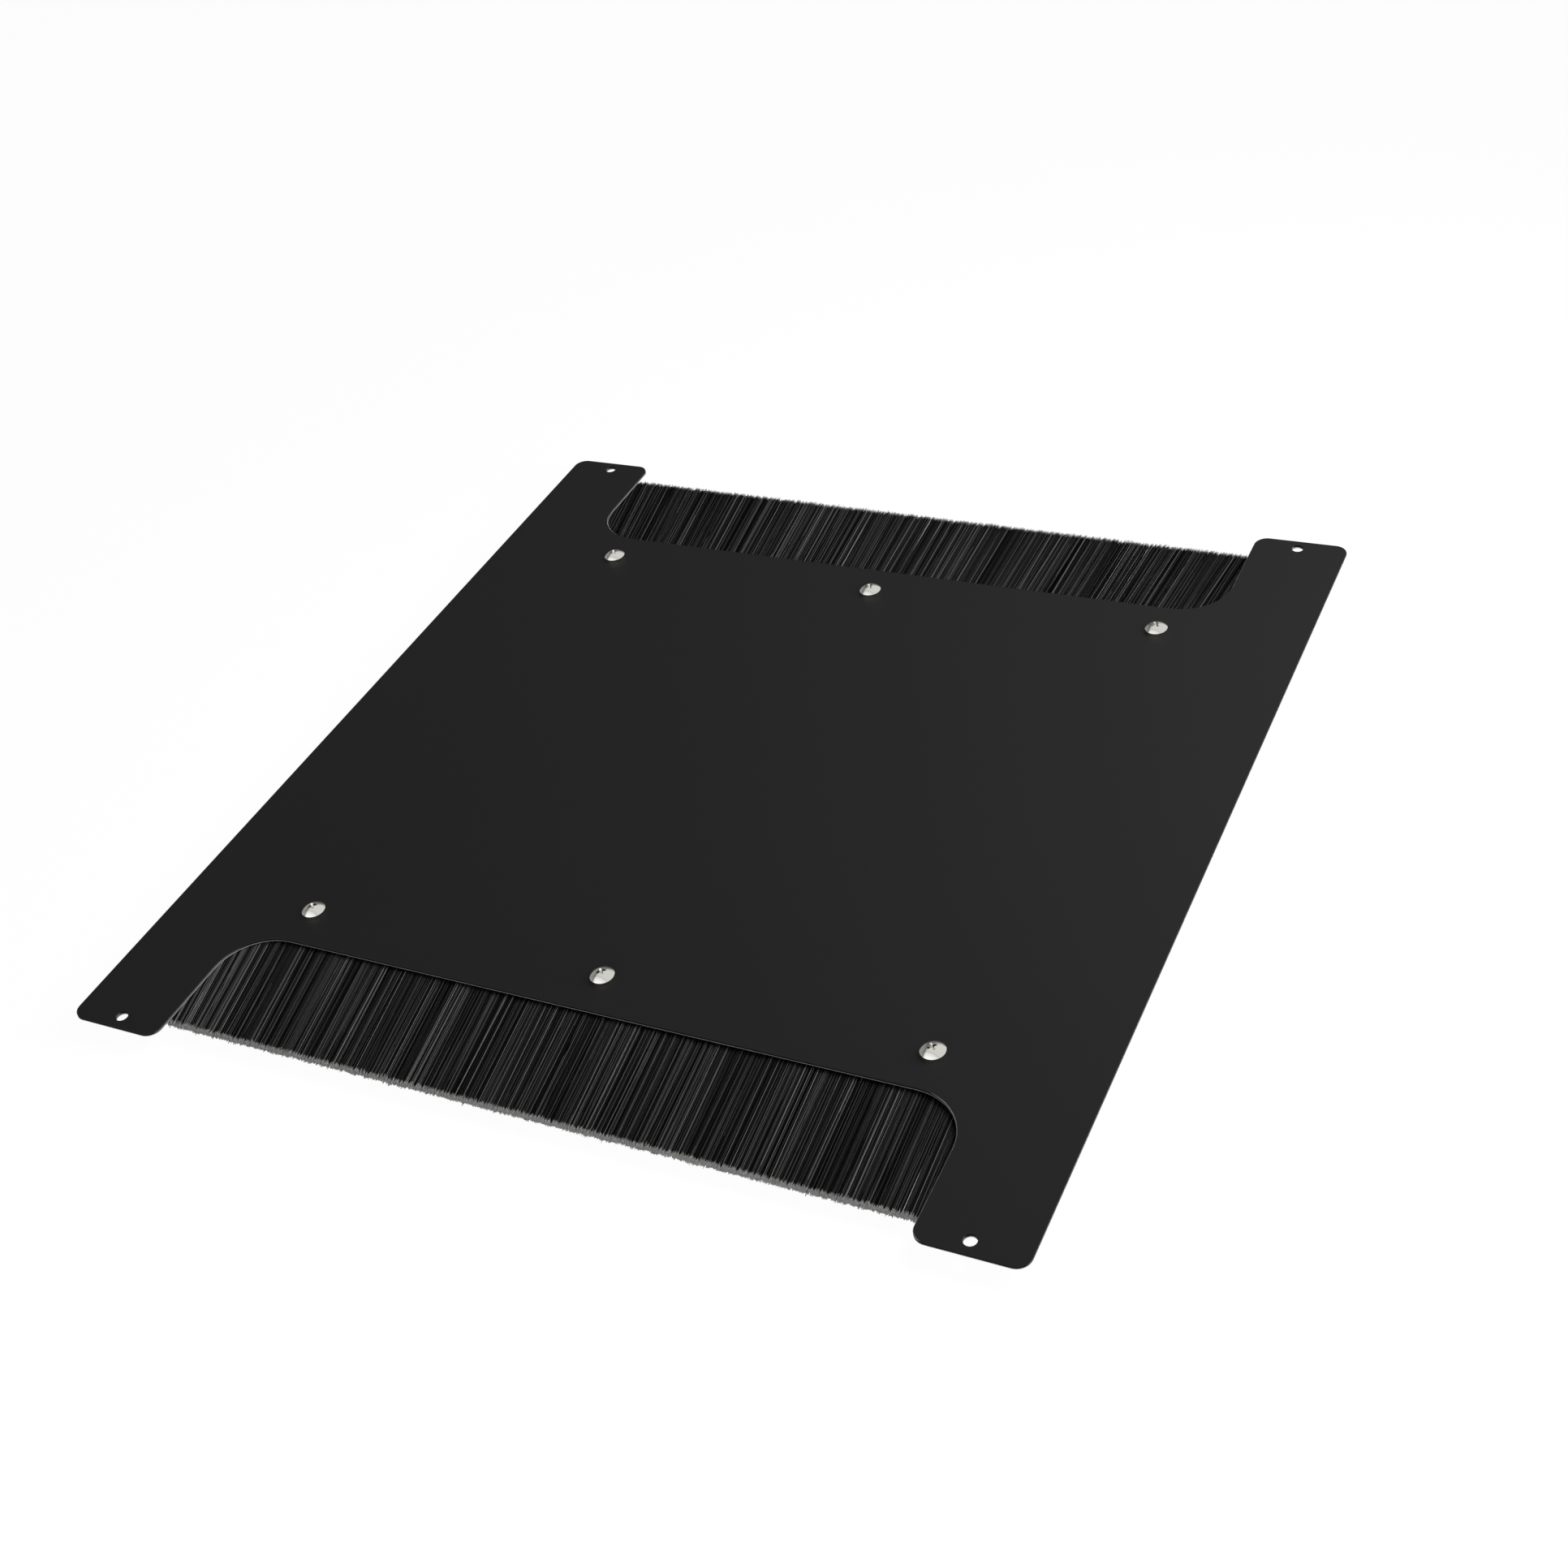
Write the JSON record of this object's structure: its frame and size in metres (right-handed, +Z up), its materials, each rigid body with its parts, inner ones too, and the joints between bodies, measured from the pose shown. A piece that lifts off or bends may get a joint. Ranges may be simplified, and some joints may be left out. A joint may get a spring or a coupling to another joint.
{
  "type": "brush cable entry panel",
  "caption": "Flat sheet-steel rack panel with a wide cable notch at each end, each closed by a strip brush clamped under the sheet.",
  "frame": {"origin": "centre of the four corner holes, on the underside of the sheet, which is the mounting face", "axes": "+X across the width, +Y from the front end to the rear end, +Z up through the sheet towards the screw heads"},
  "size_m": [0.525, 0.55, 0.0167],
  "materials": {
    "powder_coat": "satin black powder coat",
    "nylon_bristle": "black nylon filament",
    "galvanised_steel": "galvanised",
    "steel_wire": "bright drawn",
    "bright_screw": "bright nickel plate",
    "zinc_fastener": "zinc plate"
  },
  "bodies": {
    "root": {"panel": "powder_coat", "front_bristles": "nylon_bristle", "front_brush_channel": "galvanised_steel", "front_core_wire": "steel_wire", "front_clamp_bar": "galvanised_steel", "rear_bristles": "nylon_bristle", "rear_brush_channel": "galvanised_steel", "rear_core_wire": "steel_wire", "rear_clamp_bar": "galvanised_steel", "screw_front_left": "bright_screw", "screw_front_middle": "bright_screw", "screw_front_right": "bright_screw", "screw_rear_left": "bright_screw", "screw_rear_middle": "bright_screw", "screw_rear_right": "bright_screw", "washer_front_left": "zinc_fastener", "washer_front_middle": "zinc_fastener", "washer_front_right": "zinc_fastener", "washer_rear_left": "zinc_fastener", "washer_rear_middle": "zinc_fastener", "washer_rear_right": "zinc_fastener", "nut_front_left": "zinc_fastener", "nut_front_middle": "zinc_fastener", "nut_front_right": "zinc_fastener", "nut_rear_left": "zinc_fastener", "nut_rear_middle": "zinc_fastener", "nut_rear_right": "zinc_fastener"}
  },
  "joints": []
}
